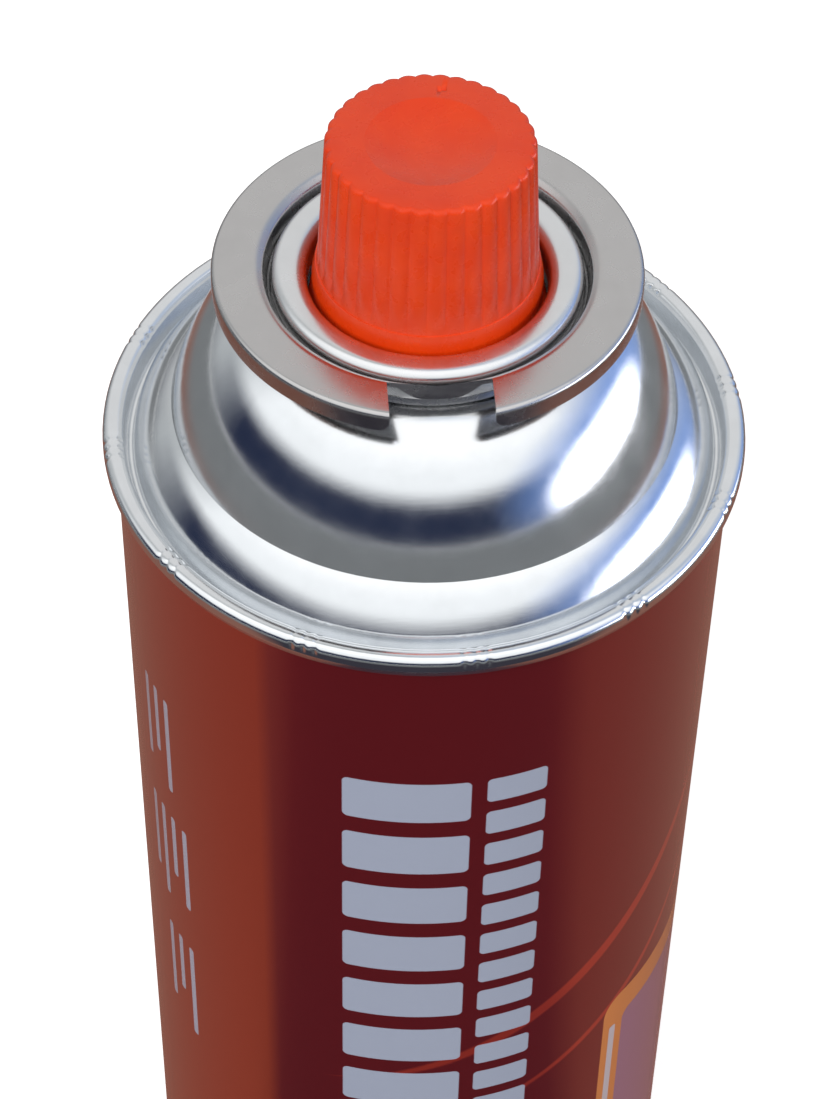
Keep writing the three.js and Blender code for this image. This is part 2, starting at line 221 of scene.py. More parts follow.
def noise(tree, size, stretch=(1, 1, 1), detail=3.0, roughness=0.5):
    """Noise on the piece itself. The size of its blotches is in millimetres, stretched by axis."""
    spot = node(tree, "ShaderNodeTexCoord").outputs["Object"]
    scale = tuple(1 / (size * MM * s) for s in stretch)
    scaled = node(tree, "ShaderNodeMapping", {"Vector": spot, "Scale": scale})
    return node(tree, "ShaderNodeTexNoise", {
        "Vector": scaled.outputs["Vector"], "Scale": 1.0, "Detail": detail, "Roughness": roughness,
    }).outputs["Fac"]


def dress(piece, body, slot, material, *replaced):
    """Gives a made piece its material, its body and the solids it stands for. Its slot is not used."""
    piece.data.materials.clear()
    piece.data.materials.append(material)
    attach(piece, body)
    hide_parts(*replaced)


BODY_SHEET = 0.25
END_SHEET = 0.35
SHEET_PLAY = 0.1
SEAM_OVERHANG = 1.34
HOOK_INSET = 0.575
HOOK_LENGTH = 0.8
seam_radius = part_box("top_end")[1].x / MM
seam_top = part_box("can_body")[1].z / MM + END_SHEET + SHEET_PLAY
body_radius = seam_radius - SEAM_OVERHANG
wall_inner = body_radius - BODY_SHEET
hook_radius = seam_radius - HOOK_INSET
hook_inner = hook_radius - BODY_SHEET
hook_bend = (hook_radius - body_radius + BODY_SHEET) / 2
sleeve_top = seam_top - END_SHEET - SHEET_PLAY
sleeve_bottom = END_SHEET + SHEET_PLAY
sleeve_line = rounded([
    (hook_inner, sleeve_bottom + hook_bend + HOOK_LENGTH),
    (hook_inner, sleeve_bottom + BODY_SHEET, hook_bend - BODY_SHEET),
    (body_radius, sleeve_bottom + BODY_SHEET, hook_bend - BODY_SHEET),
    (body_radius, sleeve_top - BODY_SHEET, hook_bend - BODY_SHEET),
    (hook_inner, sleeve_top - BODY_SHEET, hook_bend - BODY_SHEET),
    (hook_inner, sleeve_top - hook_bend - HOOK_LENGTH),
])
sleeve = turned("body_sleeve", sheet(sleeve_line, BODY_SHEET))


def bearing_from_notch(tree, spot):
    """How far round the can a spot lies from the notch's side, as an angle."""
    return maths(tree, "ARCTAN2", spot["X"], maths(tree, "MULTIPLY", spot["Y"], -1.0))


# The print's places, measured round the can from the notch's side and up from its base.
tree, given, out = group("place_round_can", [], ["Around", "Up"])
spot = on_piece(tree)
tree.links.new(maths(tree, "MULTIPLY", bearing_from_notch(tree, spot), body_radius), out["Around"])
tree.links.new(maths(tree, "DIVIDE", spot["Z"], MM), out["Up"])


def past_edge(tree, value, low, high, corner):
    """How far a value lies outside a span that is shortened by the corner at each end."""
    middle = maths(tree, "MULTIPLY", maths(tree, "ADD", low, high), 0.5)
    half = maths(tree, "MULTIPLY", maths(tree, "SUBTRACT", high, low), 0.5)
    off = maths(tree, "ABSOLUTE", maths(tree, "SUBTRACT", value, middle))
    return maths(tree, "SUBTRACT", off, maths(tree, "SUBTRACT", half, corner))


def length(tree, x, y):
    """The length of the slant over two sides."""
    squares = maths(tree, "ADD", maths(tree, "MULTIPLY", x, x), maths(tree, "MULTIPLY", y, y))
    return maths(tree, "SQRT", squares)


# A printed field with rounded corners.
tree, given, out = group("printed_field", [
    ("Around", 0), ("Up", 0), ("Left", 0), ("Right", 1), ("Bottom", 0), ("Top", 1), ("Corner", 0.5),
    ("Softness", 0.12)], ["Mask"])
across = past_edge(tree, given["Around"], given["Left"], given["Right"], given["Corner"])
along = past_edge(tree, given["Up"], given["Bottom"], given["Top"], given["Corner"])
outer_reach = length(tree, maths(tree, "MAXIMUM", across, 0.0), maths(tree, "MAXIMUM", along, 0.0))
inner_reach = maths(tree, "MINIMUM", maths(tree, "MAXIMUM", across, along), 0.0)
outside = maths(tree, "SUBTRACT", maths(tree, "ADD", outer_reach, inner_reach), given["Corner"])
edge = maths(tree, "DIVIDE", outside, given["Softness"])
mask = node(tree, "ShaderNodeClamp", {"Value": maths(tree, "SUBTRACT", 0.5, edge)})
tree.links.new(mask.outputs[0], out["Mask"])

# A printed band that sweeps up round the can and thins out at both ends.
tree, given, out = group("printed_sweep", [
    ("Around", 0), ("Up", 0), ("Start", 0), ("End", 1), ("Foot", 0), ("Rise", 10), ("Bow", 0),
    ("Width", 1), ("Softness", 0.5)], ["Mask"])
along = ramp(tree, given["Around"], given["Start"], given["End"])
swell = maths(tree, "MULTIPLY", maths(tree, "MULTIPLY", along, maths(tree, "SUBTRACT", 1.0, along)), 4.0)
line_up = maths(tree, "ADD", given["Foot"], maths(tree, "MULTIPLY", given["Rise"], along))
line_up = maths(tree, "ADD", line_up, maths(tree, "MULTIPLY", given["Bow"], swell))
off = maths(tree, "ABSOLUTE", maths(tree, "SUBTRACT", given["Up"], line_up))
half = maths(tree, "MULTIPLY", maths(tree, "MULTIPLY", given["Width"], 0.5), swell)
edge = maths(tree, "DIVIDE", maths(tree, "SUBTRACT", half, off), given["Softness"])
tree.links.new(node(tree, "ShaderNodeClamp", {"Value": edge}).outputs[0], out["Mask"])

MAROON = (0.27, 0.008, 0.013)
# Painted reflection: the warm red laid over the maroon on the can's left side.
REFLECTED_WARM_RED = (0.50, 0.050, 0.012)
SWEEP_RED = (0.66, 0.050, 0.025)
SWEEP_AMBER = (0.72, 0.24, 0.05)
PALE_INK = (0.40, 0.44, 0.56)
PANEL_LILAC = (0.33, 0.16, 0.26)
BAR_PALE = (0.60, 0.56, 0.62)
METAL_UNDER_LACQUER = 0.65
REFLECTION_EDGE = -19.5
REFLECTION_EDGE_BLUR = 0.9
lacquer, tree, shader = finish(
    "printed_lacquer_and_painted_reflection", MAROON, 0.3, Coat_Weight=1.0, Coat_Roughness=0.05)
spot = place(tree, "place_round_can")
around, up = spot["Around"], spot["Up"]
# Painted reflection: the can's left side is painted a warmer, lighter red, strongest towards its foot,
# where warm light is reflected in the lacquer.
reflection_side = ramp(tree, around, REFLECTION_EDGE + REFLECTION_EDGE_BLUR, REFLECTION_EDGE - REFLECTION_EDGE_BLUR)
reflection_foot = ramp(tree, up, seam_top, seam_top / 4, 0.6, 1.0)
colour = mix(tree, maths(tree, "MULTIPLY", reflection_side, reflection_foot), MAROON, REFLECTED_WARM_RED)
for start, end, foot, rise, bow, width, ink in (
        (-14, 62, 80, 56, -9, 2.8, SWEEP_RED),
        (-8, 70, 70, 56, -10, 1.8, SWEEP_RED),
        (10, 66, 60, 42, -12, 4.2, SWEEP_RED),
        (20, 78, 50, 36, -9, 3.0, SWEEP_AMBER),
        (28, 84, 40, 34, -7, 2.0, SWEEP_AMBER)):
    sweep = place(tree, "printed_sweep", Around=around, Up=up, Start=start, End=end, Foot=foot,
                  Rise=rise, Bow=bow, Width=width)
    colour = mix(tree, sweep["Mask"], colour, ink)

# Rules hang from three heights, blocks stand in two columns, and a panel lies at the right. Each
# field is its left, right, bottom and top edge, its corner and its ink.
RULE_LEFT = -40.6
RULE_PITCH = 2.4
RULE_WIDTH = 0.9
RULE_LENGTHS = {133.0: (14, 11, 16, 0), 112.0: (14, 17, 11, 15), 89.0: (0, 15, 11, 18)}
BLOCKS_TOP = 138.5
fields = []
for row_top, lengths in RULE_LENGTHS.items():
    for i, rule_length in enumerate(lengths):
        left = RULE_LEFT + RULE_PITCH * i
        if rule_length:
            fields.append((left, left + RULE_WIDTH, row_top - rule_length, row_top, 0.4, PALE_INK))
for left, right, height, pitch, count, corner in (
        (-10.6, 3.2, 6.6, 9.2, 13, 0.7), (4.9, 11.6, 3.9, 5.6, 21, 0.6)):
    for i in range(count):
        top = BLOCKS_TOP - pitch * i
        fields.append((left, right, top - height, top, corner, PALE_INK))
fields += [
    (23.0, 46.0, 30.0, 84.0, 3.0, SWEEP_AMBER), (26.6, 44.0, 36.0, 79.0, 1.6, PANEL_LILAC),
    (24.2, 25.3, 38.0, 78.0, 0.4, BAR_PALE)]
metal = METAL_UNDER_LACQUER
for left, right, bottom, top, corner, ink in fields:
    printed = place(tree, "printed_field", Around=around, Up=up, Left=left, Right=right,
                    Bottom=bottom, Top=top, Corner=corner)
    colour = mix(tree, printed["Mask"], colour, ink)
    metal = maths(tree, "MULTIPLY", maths(tree, "SUBTRACT", 1.0, printed["Mask"]), metal)
tree.links.new(colour, shader.inputs["Base Color"])
tree.links.new(metal, shader.inputs["Metallic"])
bump(tree, shader, noise(tree, 9.0, detail=1.0), distance=0.02, strength=0.5)
bump(tree, shader, noise(tree, 14.0, detail=1.0), distance=0.02, strength=0.4, socket="Coat Normal")
dress(sleeve, "canister", "printed_sleeve", lacquer, "can_body")


# Bottom end: 0.35 mm tinplate, seamed on like the top end, its panel domed inwards so that the
# can stands on the seam's ring.
SEAM_HEIGHT = 3.0
SEAM_ROUND = 0.95
SEAM_TAPER_IN = 0.65
SEAM_TAPER_UP = 1.45
END_HOOK = 1.85
PANEL_INSET = 0.96
PANEL_RIM_HEIGHT = 3.4
PANEL_RISE = 6.5
chuck_radius = wall_inner - SHEET_PLAY - END_SHEET


def seam_corners(lift, up):
    """The double seam's outside, from the end's own hook round to the chuck wall's head."""
    hook = body_radius + SHEET_PLAY
    shelf = -SEAM_HEIGHT
    corners = [
        (hook, shelf + END_HOOK), (hook, shelf, 0.3), (seam_radius - SEAM_TAPER_IN, shelf, 0.25),
        (seam_radius, shelf + SEAM_TAPER_UP, 0.6), (seam_radius, 0, SEAM_ROUND),
        (chuck_radius, 0, SEAM_ROUND)]
    return [(r, lift + up * z, *bend) for r, z, *bend in corners]


def panel_dome(steps=24):
    """The bottom panel's shallow dome, from its rim in to the axis."""
    rim = chuck_radius - PANEL_INSET
    sphere = (rim ** 2 + PANEL_RISE ** 2) / (2 * PANEL_RISE)
    centre = PANEL_RIM_HEIGHT + PANEL_RISE - sphere
    spots = [rim * i / steps for i in range(steps, -1, -1)]
    return [(r, centre + math.sqrt(sphere ** 2 - r ** 2)) for r in spots]


bottom_line = rounded(seam_corners(0, -1) + panel_dome())
bottom = turned("bottom_end_dressed", sheet(bottom_line[::-1], END_SHEET))

# Rolling grain and faint blotches of bright tinplate, whose gloss wanders between two values.
tree, given, out = group("tinplate_grain", [("Smooth", 0.2), ("Rough", 0.3)], [
    "Height", "Shade", "Roughness"])
tree.links.new(noise(tree, 0.35, (14, 1, 1), detail=2.0), out["Height"])
shade = ramp(tree, noise(tree, 5.0, detail=4.0, roughness=0.6), 0.35, 0.7)
tree.links.new(shade, out["Shade"])
tree.links.new(ramp(tree, shade, 0.0, 1.0, given["Smooth"], given["Rough"]), out["Roughness"])


def tinplate(name, colour, smooth, rough, grain_height):
    """Bright or grey tinplate with its grain."""
    material, tree, shader = finish(name, colour, smooth, Metallic=1.0)
    grain = place(tree, "tinplate_grain", Smooth=smooth, Rough=rough)
    tree.links.new(grain["Roughness"], shader.inputs["Roughness"])
    shaded = mix(tree, grain["Shade"], tuple(c * 0.93 for c in colour), colour)
    tree.links.new(shaded, shader.inputs["Base Color"])
    bump(tree, shader, grain["Height"], grain_height)
    return material


base_tinplate = tinplate(
    "base_tinplate_finish", (0.6, 0.61, 0.62), smooth=0.28, rough=0.4, grain_height=0.004)
dress(bottom, "canister", "base_tinplate", base_tinplate, "bottom_end")


# Charge: liquefied gas, clear as water, sealed inside the can. It fills four fifths of the can,
# with its vapour above it.
liquid, tree, shader = finish("clear_charge", (0.92, 0.96, 0.98), 0.02, Transmission_Weight=1.0, IOR=1.33)
ripple = noise(tree, 12.0, detail=1.0)
tree.links.new(mix(tree, ripple, (0.9, 0.95, 0.97), (0.96, 0.98, 1.0)), shader.inputs["Base Color"])


def coat_solid(name, material):
    """Gives a solid that is shown as it is its material."""
    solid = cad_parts[name]
    solid.data.materials.clear()
    solid.data.materials.append(material)


coat_solid("liquid_fuel", liquid)


# Top end: one pressing of 0.35 mm tinplate, from the double seam through a countersink, a bulge
# and a crease to the bell-shaped dome, its neck rolled into a bead. Pressed marks vent the seam.
COUNTERSINK_INSET = 0.86
COUNTERSINK_DEPTH = 2.82
BULGE_WIDTH = 4.55
BULGE_FOOT_IN = 0.35
BULGE_FOOT_UP = 1.3
CREASE_HEIGHT = 3.5
SHOULDER_RADIUS = 16.0
SHOULDER_HEIGHT = 17.5
NECK_RADIUS = 13.1
NECK_FOOT_HEIGHT = 17.9
BEAD_RADIUS = 15.5
BEAD_LIP = 1.72


def swelling(foot, foot_slope, top, top_slope, steps):
    """A bowed stretch that leaves its foot at one slope and reaches its top at another."""
    rise = Vector((-math.cos(math.radians(foot_slope)), math.sin(math.radians(foot_slope))))
    fall = Vector((math.cos(math.radians(top_slope)), -math.sin(math.radians(top_slope))))
    foot, top = Vector(foot), Vector(top)
    corner = foot + rise * ((top - foot).cross(fall) / rise.cross(fall))
    parts = [i / steps for i in range(steps + 1)]
    return [foot * (1 - t) ** 2 + corner * 2 * t * (1 - t) + top * t ** 2 for t in parts]


countersink_radius = chuck_radius - COUNTERSINK_INSET
countersink_z = seam_top - COUNTERSINK_DEPTH
bulge_foot = (countersink_radius - BULGE_FOOT_IN, countersink_z + BULGE_FOOT_UP)
crease = (countersink_radius - BULGE_WIDTH, seam_top + CREASE_HEIGHT)
shoulder = (SHOULDER_RADIUS, seam_top + SHOULDER_HEIGHT)
bulge = swelling(bulge_foot, 60, crease, 32, 12)
dome = swelling(crease, 75, shoulder, 15, 22)
bead_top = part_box("top_end")[1].z / MM - END_SHEET
bead_inner = BEAD_RADIUS - END_SHEET
top_line = rounded(
    seam_corners(seam_top, 1)
    + [(countersink_radius + 0.2, countersink_z, 0.22), (countersink_radius - 0.2, countersink_z, 0.15)]
    + [tuple(p) for p in bulge[1:] + dome[1:]]
    + [(NECK_RADIUS, seam_top + NECK_FOOT_HEIGHT, 0.6), (NECK_RADIUS, bead_top, 1.02)]
    + [(bead_inner, bead_top, 1.02), (bead_inner, bead_top + END_SHEET - BEAD_LIP)])
top = draw_section("top_end_dressed", sheet(top_line, END_SHEET))

# The marks stand in groups of three. The skin has fine steps at each group and coarse ones between.
MARK_GROUPS = 12
MARK_SPAN = 7.0
MARK_PITCH = 2.1
MARK_WIDTH = 0.2
MARK_DEPTH = 0.06
MARK_DROP = 1.3
FIRST_MARK = -84.9
FINE_STEPS = 30
COARSE_STEPS = 8
section_bearing = math.radians(FIRST_MARK + 90 + MARK_SPAN / 2)
group_turn = 2 * math.pi / MARK_GROUPS
bpy.ops.transform.rotate(value=-section_bearing, orient_axis="Z", center_override=(0, 0, 0))
spin(FINE_STEPS, math.radians(MARK_SPAN))
spin(COARSE_STEPS, group_turn - math.radians(MARK_SPAN))
bpy.ops.mesh.select_all(action="SELECT")
spin(MARK_GROUPS - 1, 2 * math.pi - group_turn, copies=True)
close_turned()


def press_vent_marks(piece):
    """Presses three small radial grooves into the seam's round top at each group's place."""
    half_width = (seam_radius - chuck_radius) / 2
    ring_middle = seam_radius - half_width
    for vertex in piece.data.vertices:
        r = vertex.co.xy.length / MM
        z = vertex.co.z / MM
        if r < chuck_radius - 0.05 or z < seam_top - MARK_DROP or z > seam_top + 0.1:
            continue
        turned_to = math.degrees(math.atan2(vertex.co.y, vertex.co.x)) - FIRST_MARK
        half_turn = math.degrees(group_turn) / 2
        off_group = (turned_to + half_turn) % (2 * half_turn) - half_turn
        off_mark = math.radians(min(abs(off_group - k * MARK_PITCH) for k in (-1, 0, 1))) * seam_radius
        across = min(abs(r - ring_middle) / half_width, 1.0)
        groove = math.exp(-(off_mark / (MARK_WIDTH * (1 + 0.6 * across))) ** 2)
        depth = MARK_DEPTH * (1 + 2 * across ** 4) * groove
        outwards = Vector(((r - ring_middle) * 1.4, max(z - (seam_top - SEAM_ROUND), 0.0))).normalized()
        sink = -outwards * depth * MM
        sideways = vertex.co.xy.normalized() * sink.x
        vertex.co += Vector((sideways.x, sideways.y, sink.y))


press_vent_marks(top)
bright_tinplate = tinplate(
    "bright_tinplate_finish", (0.82, 0.84, 0.86), smooth=0.13, rough=0.19, grain_height=0.002)
dress(top, "canister", "bright_tinplate", bright_tinplate, "top_end")


# Valve: rubber gaskets, a moulded housing and a milky tube that draws vapour. All of it hangs
# inside the can under the cup's turret, clamped there by a crimp.
rubber, tree, shader = finish("black_rubber_finish", (0.02, 0.02, 0.022), 0.75)
tree.links.new(ramp(tree, noise(tree, 1.2), 0.3, 0.7, 0.65, 0.85), shader.inputs["Roughness"])
bump(tree, shader, noise(tree, 0.3), 0.01)

# The faint cloudy tone and fine skin of a moulded plastic.
tree, given, out = group("moulded_skin", [("Smooth", 0.3), ("Rough", 0.4)], [
    "Height", "Cloud", "Roughness"])
tree.links.new(noise(tree, 0.12, detail=2.0), out["Height"])
tree.links.new(ramp(tree, noise(tree, 3.0, detail=3.0), 0.3, 0.7), out["Cloud"])
tree.links.new(ramp(tree, noise(tree, 1.5), 0.3, 0.7, given["Smooth"], given["Rough"]), out["Roughness"])


def moulded(name, colour, roughness):
    """A moulded plastic, cloudy and satin."""
    material, tree, shader = finish(name, colour, roughness, IOR=1.49)
    skin = place(tree, "moulded_skin", Smooth=roughness - 0.04, Rough=roughness + 0.06)
    clouded = mix(tree, skin["Cloud"], tuple(c * 0.94 for c in colour), colour)
    tree.links.new(clouded, shader.inputs["Base Color"])
    tree.links.new(skin["Roughness"], shader.inputs["Roughness"])
    bump(tree, shader, skin["Height"], 0.006)
    return material


coat_solid("cup_gasket", rubber)
coat_solid("stem_gasket", rubber)
coat_solid("valve_housing", moulded("housing_white", (0.78, 0.76, 0.70), 0.42))
coat_solid("vapour_tube", moulded("tube_milky", (0.70, 0.73, 0.70), 0.3))


# Valve spring: 0.6 mm steel wire in six turns, seated in the housing and under the stem's
# shoulder, which shortens it as the stem goes down.
WIRE_RADIUS = 0.3
COIL_TURNS = 6
TURN_SPOTS = 32
spring_foot, spring_head = (corner.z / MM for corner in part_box("valve_spring"))
spring_length = spring_head - spring_foot
coil_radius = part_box("valve_spring")[1].x / MM - WIRE_RADIUS
coil_rise = spring_length - 2 * WIRE_RADIUS
wire = bpy.data.curves.new("valve_spring_dressed", "CURVE")
wire.dimensions = "3D"
wire.bevel_depth = WIRE_RADIUS * MM
wire.bevel_resolution = 3
wire.use_fill_caps = True
coil = wire.splines.new("POLY")
coil.points.add(COIL_TURNS * TURN_SPOTS)
for i, spot in enumerate(coil.points):
    wound = 2 * math.pi * i / TURN_SPOTS
    height = spring_foot + WIRE_RADIUS + coil_rise * i / (COIL_TURNS * TURN_SPOTS)
    spot.co = (coil_radius * MM * math.cos(wound), coil_radius * MM * math.sin(wound), height * MM, 1)
spring = bpy.data.objects.new("valve_spring_dressed", wire)
bpy.context.collection.objects.link(spring)
bpy.ops.object.select_all(action="DESELECT")
spring.select_set(True)
bpy.context.view_layer.objects.active = spring
bpy.ops.object.convert(target="MESH")
bpy.ops.object.shade_smooth_by_angle(angle=SMOOTH_ANGLE)
spring_wire, tree, shader = finish("spring_wire_finish", (0.45, 0.46, 0.48), 0.22, Metallic=1.0)
tree.links.new(ramp(tree, noise(tree, 0.8), 0.3, 0.7, 0.16, 0.32), shader.inputs["Roughness"])
dress(spring, "canister", "spring_steel", spring_wire, "valve_spring")
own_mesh(spring)


# Valve stem: a small plastic moulding with a gas bore, which slides in the turret and opens the
# valve when the stove presses it down.
PEG_RADIUS = 1.6
PEG_LENGTH = 2.0
STEM_SHOULDER_RADIUS = 3.3
STEM_SHOULDER_HEIGHT = 2.5
STEM_RADIUS = 2.0
BORE_RADIUS = 0.9
BORE_PAST_SHOULDER = 1.0
STEM_TURN_STEPS = 64
stem_foot, stem_top = (corner.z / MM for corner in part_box("valve_stem"))
shoulder_foot = stem_foot + PEG_LENGTH
shoulder_top = shoulder_foot + STEM_SHOULDER_HEIGHT
bore_foot = shoulder_top - BORE_PAST_SHOULDER
stem = turned("valve_stem_dressed", rounded([
    (0, stem_foot), (PEG_RADIUS, stem_foot, 0.2), (PEG_RADIUS, shoulder_foot, 0.1),
    (STEM_SHOULDER_RADIUS, shoulder_foot, 0.15), (STEM_SHOULDER_RADIUS, shoulder_top, 0.15),
    (STEM_RADIUS, shoulder_top, 0.1), (STEM_RADIUS, stem_top, 0.35), (BORE_RADIUS, stem_top, 0.12),
    (BORE_RADIUS, bore_foot), (0, bore_foot)]), STEM_TURN_STEPS)
dress(stem, "stem", "white_plastic", moulded("stem_white", (0.80, 0.78, 0.72), 0.38), "valve_stem")


# Collar: a ring pressed from 0.5 mm steel and slipped over the crimped cup, flat on top for the
# stove's magnet, with a skirt outside and one notch for the locating pin.
COLLAR_SHEET = 0.5
COLLAR_SKIRT = 2.3
COLLAR_FLAT_INNER = 17.6
COLLAR_SEAT_RADIUS = 15.45
COLLAR_SEAT_HEIGHT = 17.8
NOTCH_WIDTH = 10.4
NOTCH_ROOT = 16.7
NOTCH_CORNER = 1.3
CUTTER_SPARE = 1.0
CUTTER_REACH = 8.0
collar_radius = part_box("collar_ring")[1].x / MM
collar_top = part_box("collar_ring")[1].z / MM
skirt_end = collar_top - COLLAR_SKIRT
curl_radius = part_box("mounting_cup")[1].x / MM
collar = turned("collar_dressed", sheet(rounded([
    (collar_radius, skirt_end), (collar_radius, collar_top, 0.6), (COLLAR_FLAT_INNER, collar_top, 1.2),
    (curl_radius + 0.8, collar_top - 0.6, 0.55), (curl_radius + 0.4, collar_top - 2.4, 0.3),
    (COLLAR_SEAT_RADIUS, collar_top - 3.0, 0.3), (COLLAR_SEAT_RADIUS, seam_top + COLLAR_SEAT_HEIGHT)]),
    COLLAR_SHEET))
notch_half = NOTCH_WIDTH / 2
flare = notch_half + NOTCH_CORNER + 0.01
cutter_top = collar_top + CUTTER_SPARE
cutter = draw_section("notch_cutter", rounded([
    (-notch_half, cutter_top), (-notch_half, skirt_end, NOTCH_CORNER), (-flare, skirt_end),
    (-flare, skirt_end - CUTTER_SPARE), (flare, skirt_end - CUTTER_SPARE), (flare, skirt_end),
    (notch_half, skirt_end, NOTCH_CORNER), (notch_half, cutter_top)]))
bpy.ops.mesh.remove_doubles(threshold=WELD_REACH * MM)
bpy.ops.mesh.edge_face_add()
bpy.ops.transform.translate(value=(0, -NOTCH_ROOT * MM, 0))
bpy.ops.mesh.extrude_region_move(TRANSFORM_OT_translate={"value": (0, -CUTTER_REACH * MM, 0)})
bpy.ops.mesh.select_all(action="SELECT")
bpy.ops.mesh.normals_make_consistent(inside=False)
bpy.ops.object.mode_set(mode="OBJECT")
cut = collar.modifiers.new("notch", "BOOLEAN")
cut.object = cutter
cut.solver = "EXACT"
bpy.ops.object.select_all(action="DESELECT")
collar.select_set(True)
bpy.context.view_layer.objects.active = collar
bpy.ops.object.modifier_apply(modifier=cut.name)
bpy.data.objects.remove(cutter)
collar_steel = tinplate(
    "collar_steel_finish", (0.56, 0.55, 0.545), smooth=0.2, rough=0.32, grain_height=0.003)
dress(collar, "canister", "collar_steel", collar_steel, "collar_ring")


# Mounting cup: 0.35 mm tinplate, curled over the neck's bead on a gasket, crimped out under the
# bead, with the valve's turret standing in its well.
CUP_SHEET = 0.35
CURL_DROP = 2.25
WELL_DEPTH = 7.1
CRIMP_OUT = 0.45
CRIMP_TOP = 5.3
CRIMP_FOOT = 6.3
TURRET_RADIUS = 5.2
TURRET_HEIGHT = 6.0
TURRET_MOUTH = 2.35
cup_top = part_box("mounting_cup")[1].z / MM
cup_wall = NECK_RADIUS - END_SHEET - SHEET_PLAY - CUP_SHEET
well_floor = cup_top - WELL_DEPTH
turret_top = well_floor + TURRET_HEIGHT
cup = turned("mounting_cup_dressed", sheet(rounded([
    (curl_radius, cup_top - CURL_DROP), (curl_radius, cup_top, 1.2), (cup_wall, cup_top, 1.6),
    (cup_wall, cup_top - CRIMP_TOP + 0.5, 0.3), (cup_wall + CRIMP_OUT, cup_top - CRIMP_TOP, 0.3),
    (cup_wall + CRIMP_OUT, cup_top - CRIMP_FOOT, 0.3), (cup_wall, well_floor, 0.45),
    (TURRET_RADIUS - 0.1, well_floor, 0.45), (TURRET_RADIUS - 0.32, well_floor + 0.9, 0.3),
    (TURRET_RADIUS, well_floor + 1.8, 0.6), (TURRET_RADIUS, turret_top, 0.8),
    (TURRET_MOUTH, turret_top)]), CUP_SHEET))
cup_tinplate = tinplate(
    "cup_tinplate_finish", (0.78, 0.79, 0.80), smooth=0.2, rough=0.3, grain_height=0.002)
dress(cup, "canister", "cup_tinplate", cup_tinplate, "mounting_cup")


# Cap: one injection moulding in orange-red plastic, with 36 fine flutes, a shallow dish in its
# top and a plain flared skirt that snaps into the valve cup.
FLUTES = 36
FLUTE_DEPTH = 0.3
FLUTE_STEPS = 16
FLUTE_REACH = 1.0
FLUTE_RUN_IN = 0.75
FLUTE_RUN_OUT = 0.5
FLUTE_CROWN = 0.8
BARREL_STEPS = 12
CAP_EDGE_RADIUS = 10.45
BARREL_FOOT_RADIUS = 11.3
BARREL_FOOT_HEIGHT = 7.9
CAP_SKIRT_RADIUS = 11.8
SNAP_BEAD_RADIUS = 12.15
SNAP_BEAD_HEIGHT = 3.3
CAP_BORE_RADIUS = 10.45
CAP_BORE_END_RADIUS = 8.7
CAP_ROOF = 1.5
DISH_RADIUS = 6.5
DISH_DEPTH = 1.05
DISH_STEPS = 12
PIT_RADIUS = 7.9
PIT_BEARING = math.radians(78.4)
PIT_DEPTH = 0.3
PIT_HALF_LENGTH = 0.45
PIT_HALF_WIDTH = 0.3
cap_bottom, cap_top = (corner.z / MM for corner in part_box("cap"))
flute_foot = cap_bottom + BARREL_FOOT_HEIGHT
bead_middle = cap_bottom + SNAP_BEAD_HEIGHT
bowl = (DISH_RADIUS ** 2 + DISH_DEPTH ** 2) / (2 * DISH_DEPTH)
dish_radii = [DISH_RADIUS * i / DISH_STEPS for i in range(DISH_STEPS)]
dish = [(r, cap_top - DISH_DEPTH + bowl - math.sqrt(bowl ** 2 - r ** 2)) for r in dish_radii]
pit_rings = [(PIT_RADIUS + step / 10, cap_top) for step in (-5, -3, -1, 1, 3, 5)]
cap_section = rounded(dish + [(DISH_RADIUS, cap_top, 0.4)] + pit_rings + [
    (CAP_EDGE_RADIUS, cap_top, 0.65), (BARREL_FOOT_RADIUS, flute_foot, 0.05),
    (BARREL_FOOT_RADIUS + 0.14, flute_foot, 0.05), (CAP_SKIRT_RADIUS, flute_foot - 1.85, 0.6),
    (CAP_SKIRT_RADIUS, bead_middle + 0.45, 0.2), (SNAP_BEAD_RADIUS, bead_middle, 0.15),
    (CAP_SKIRT_RADIUS, bead_middle - 0.45, 0.2), (CAP_SKIRT_RADIUS, cap_bottom, 0.35),
    (CAP_BORE_RADIUS, cap_bottom, 0.2), (CAP_BORE_RADIUS, cap_bottom + 6.05, 1.0),
    (CAP_BORE_END_RADIUS, cap_top - CAP_ROOF, 0.6), (0, cap_top - CAP_ROOF)])
barrel_section = []
for here, ahead in zip(cap_section, cap_section[1:]):
    on_barrel = here.y > flute_foot and here.y - ahead.y > FLUTE_REACH
    parts = BARREL_STEPS if on_barrel else 1
    barrel_section += [here.lerp(ahead, i / parts) for i in range(parts)]
barrel_section.append(cap_section[-1])
cap = turned("cap_dressed", barrel_section, FLUTES * FLUTE_STEPS, FLUTES)


def press_flutes(piece):
    """Draws the barrel in between its flutes, so that each flute stands up as a rounded rib."""
    taper = (BARREL_FOOT_RADIUS - CAP_EDGE_RADIUS) / (cap_top - flute_foot)
    for vertex in piece.data.vertices:
        r = vertex.co.xy.length / MM
        z = vertex.co.z / MM
        inside = CAP_EDGE_RADIUS + taper * (cap_top - z) - FLUTE_REACH
        if z < flute_foot + 0.05 or r < inside:
            continue
        angle = math.atan2(vertex.co.y, vertex.co.x)
        valley = 1 - abs(math.cos(FLUTES * angle / 2)) ** FLUTE_CROWN
        from_edge = min(max((r - inside) / FLUTE_RUN_IN, 0.0), 1.0)
        from_foot = min((z - flute_foot) / FLUTE_RUN_OUT, 1.0)
        vertex.co.xy = vertex.co.xy * (1 - FLUTE_DEPTH * valley * from_edge * from_foot / r)


